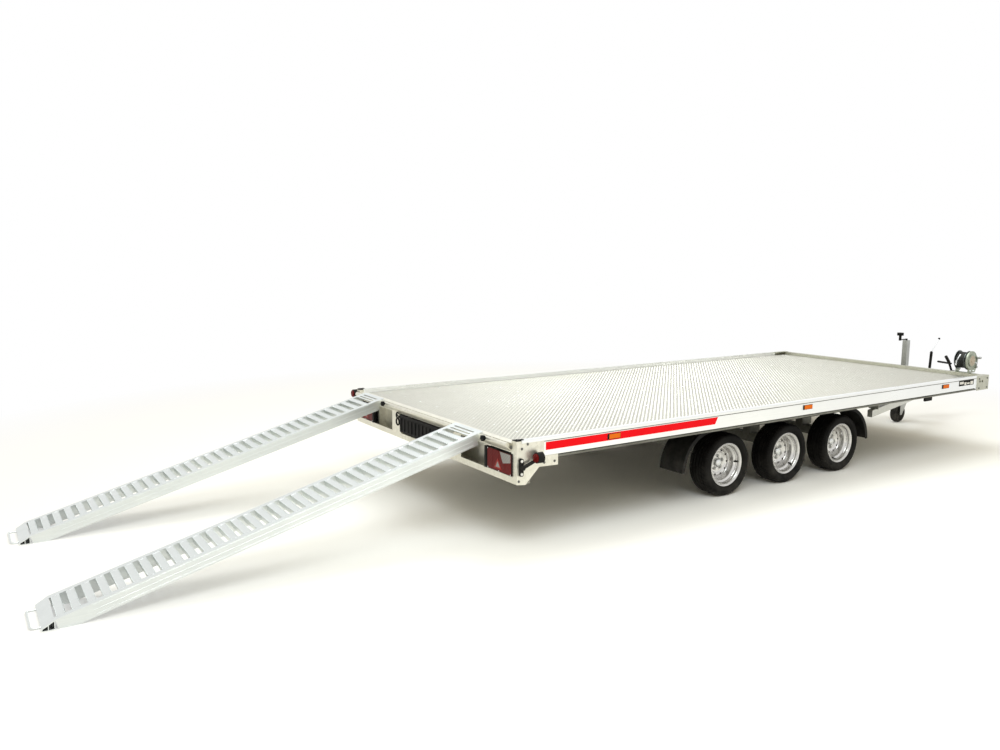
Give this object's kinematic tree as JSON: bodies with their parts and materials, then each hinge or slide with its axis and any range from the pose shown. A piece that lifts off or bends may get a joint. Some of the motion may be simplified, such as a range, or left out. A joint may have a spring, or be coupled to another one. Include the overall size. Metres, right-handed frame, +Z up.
{
  "type": "car hauler trailer",
  "caption": "Flat-bed car hauler trailer on three close axles, with hooked aluminium loading ramps, V drawbar, overrun coupling, jack wheel and hand winch.",
  "frame": {"origin": "middle of the footprint, on the ground", "axes": "+X forward towards the coupling, +Y left, +Z up"},
  "size_m": [10.4885, 2.6998, 1.08],
  "materials": {
    "rail_aluminium": "mill-finished extrusion",
    "ramp_aluminium": "mill-finished extrusion with welds",
    "deck_aluminium": "chequered sheet",
    "galvanised_steel": "hot-dip galvanised",
    "zinc_plate": "zinc plated",
    "cast_steel": "zinc plated casting",
    "black_plastic": "grained moulding",
    "black_rubber": "moulded rubber",
    "red_lens": "moulded lens",
    "red_foil": "stripe foil",
    "amber_lens": "moulded lens",
    "wheel_silver": "silver paint",
    "tyre_rubber": "tyre rubber"
  },
  "bodies": {
    "root": {"side_rail_right": "rail_aluminium", "side_rail_left": "rail_aluminium", "rail_caps": "black_plastic", "front_beam": "galvanised_steel", "front_corners": "galvanised_steel", "deck_plate": "deck_aluminium", "rear_beam": "galvanised_steel", "rear_frame": "galvanised_steel", "corner_plates": "galvanised_steel", "side_stripes": "red_foil", "cross_members": "galvanised_steel", "main_beams": "galvanised_steel", "ramp_store": "galvanised_steel", "torsion_axles": "galvanised_steel", "wheel_carriers": "cast_steel", "mudguard_right": "black_plastic", "mudguard_left": "black_plastic", "tail_lamps": "red_lens", "lamp_ends": "black_plastic", "marker_arms": "black_rubber", "marker_lenses": "red_lens", "side_markers": "amber_lens", "ramp_knobs": "black_plastic", "drawbar_leg_right": "galvanised_steel", "drawbar_leg_left": "galvanised_steel", "drawbar_brackets": "galvanised_steel", "jack_plate": "galvanised_steel", "overrun_housing": "cast_steel", "draw_bellows": "black_rubber", "coupling_head": "cast_steel", "coupling_handle": "black_plastic", "handbrake_lever": "black_plastic", "jack_tube": "zinc_plate", "jack_crank": "black_plastic", "winch_frame": "zinc_plate", "winch_drum": "cast_steel", "winch_crank": "zinc_plate"},
    "wheel_right_1": {"rim_right_1": "wheel_silver", "tyre_right_1": "tyre_rubber"},
    "wheel_right_2": {"rim_right_2": "wheel_silver", "tyre_right_2": "tyre_rubber"},
    "wheel_right_3": {"rim_right_3": "wheel_silver", "tyre_right_3": "tyre_rubber"},
    "wheel_left_1": {"rim_left_1": "wheel_silver", "tyre_left_1": "tyre_rubber"},
    "wheel_left_2": {"rim_left_2": "wheel_silver", "tyre_left_2": "tyre_rubber"},
    "wheel_left_3": {"rim_left_3": "wheel_silver", "tyre_left_3": "tyre_rubber"},
    "ramp_right": {"ramp_right": "ramp_aluminium", "ramp_right_toe": "ramp_aluminium"},
    "ramp_left": {"ramp_left": "ramp_aluminium", "ramp_left_toe": "ramp_aluminium"},
    "plate_flap": {"number_plate_flap": "black_plastic"},
    "jack_leg": {"jack_inner": "zinc_plate"},
    "jack_swivel": {"jack_fork": "zinc_plate"},
    "jack_wheel": {"jack_wheel": "black_rubber"}
  },
  "joints": [
    {"name": "wheel_right_1_spin", "type": "hinge", "parent": "root", "child": "wheel_right_1", "pos_m": [-0.20586, -0.978, 0.2625], "axis": [0, 1, 0], "continuous": true},
    {"name": "wheel_right_2_spin", "type": "hinge", "parent": "root", "child": "wheel_right_2", "pos_m": [0.55414, -0.978, 0.2625], "axis": [0, 1, 0], "continuous": true},
    {"name": "wheel_right_3_spin", "type": "hinge", "parent": "root", "child": "wheel_right_3", "pos_m": [1.31414, -0.978, 0.2625], "axis": [0, 1, 0], "continuous": true},
    {"name": "wheel_left_1_spin", "type": "hinge", "parent": "root", "child": "wheel_left_1", "pos_m": [-0.20586, 0.978, 0.2625], "axis": [0, 1, 0], "continuous": true},
    {"name": "wheel_left_2_spin", "type": "hinge", "parent": "root", "child": "wheel_left_2", "pos_m": [0.55414, 0.978, 0.2625], "axis": [0, 1, 0], "continuous": true},
    {"name": "wheel_left_3_spin", "type": "hinge", "parent": "root", "child": "wheel_left_3", "pos_m": [1.31414, 0.978, 0.2625], "axis": [0, 1, 0], "continuous": true},
    {"name": "ramp_right_tilt", "type": "hinge", "parent": "root", "child": "ramp_right", "pos_m": [-2.48586, -0.688, 0.735], "axis": [0, 1, 0], "range_deg": [0, 15]},
    {"name": "ramp_left_tilt", "type": "hinge", "parent": "root", "child": "ramp_left", "pos_m": [-2.48586, 0.882, 0.735], "axis": [0, 1, 0], "range_deg": [0, 15]},
    {"name": "plate_flap_swing", "type": "hinge", "parent": "root", "child": "plate_flap", "pos_m": [-2.46886, 0, 0.675], "axis": [0, 1, 0], "range_deg": [0, 85]},
    {"name": "jack_lift", "type": "slide", "parent": "root", "child": "jack_leg", "axis": [0, 0, 1], "range_m": [-0.05, 0.15]},
    {"name": "jack_swivel_turn", "type": "hinge", "parent": "jack_leg", "child": "jack_swivel", "pos_m": [4.07414, 0, 0.25], "axis": [0, 0, 1], "continuous": true},
    {"name": "jack_wheel_spin", "type": "hinge", "parent": "jack_swivel", "child": "jack_wheel", "pos_m": [3.99414, 0, 0.11], "axis": [0, 1, 0], "continuous": true}
  ]
}
